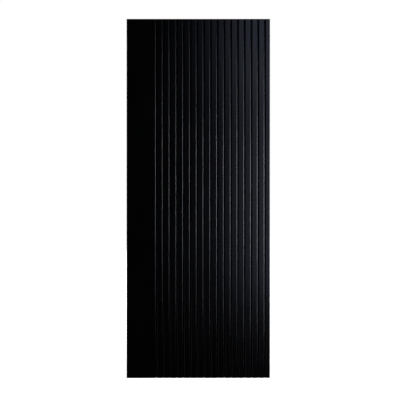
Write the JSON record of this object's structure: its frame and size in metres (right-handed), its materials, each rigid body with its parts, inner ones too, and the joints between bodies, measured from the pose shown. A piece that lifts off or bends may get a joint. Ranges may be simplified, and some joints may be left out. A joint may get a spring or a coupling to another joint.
{
  "type": "kick plate",
  "caption": "Black satin door kick plate with a plain strip along one side, lengthwise V-grooves over the rest, and foam tape on its back.",
  "frame": {"origin": "middle of the bonding plane, on the centre tape's outer face, where it meets the door", "axes": "+Z along the plate's length, +X across it from the plain strip towards the grooves, +Y through it from the face to the door"},
  "size_m": [0.3, 0.0071, 0.77],
  "materials": {
    "plate": "satin",
    "foam_tape": "matte"
  },
  "bodies": {
    "root": {"face_plate": "plate", "tape_centre": "foam_tape", "tape_left_edge": "foam_tape", "tape_right_edge": "foam_tape", "tape_top_end": "foam_tape", "tape_bottom_end": "foam_tape", "tape_inner_left": "foam_tape", "tape_inner_right": "foam_tape"}
  },
  "joints": []
}
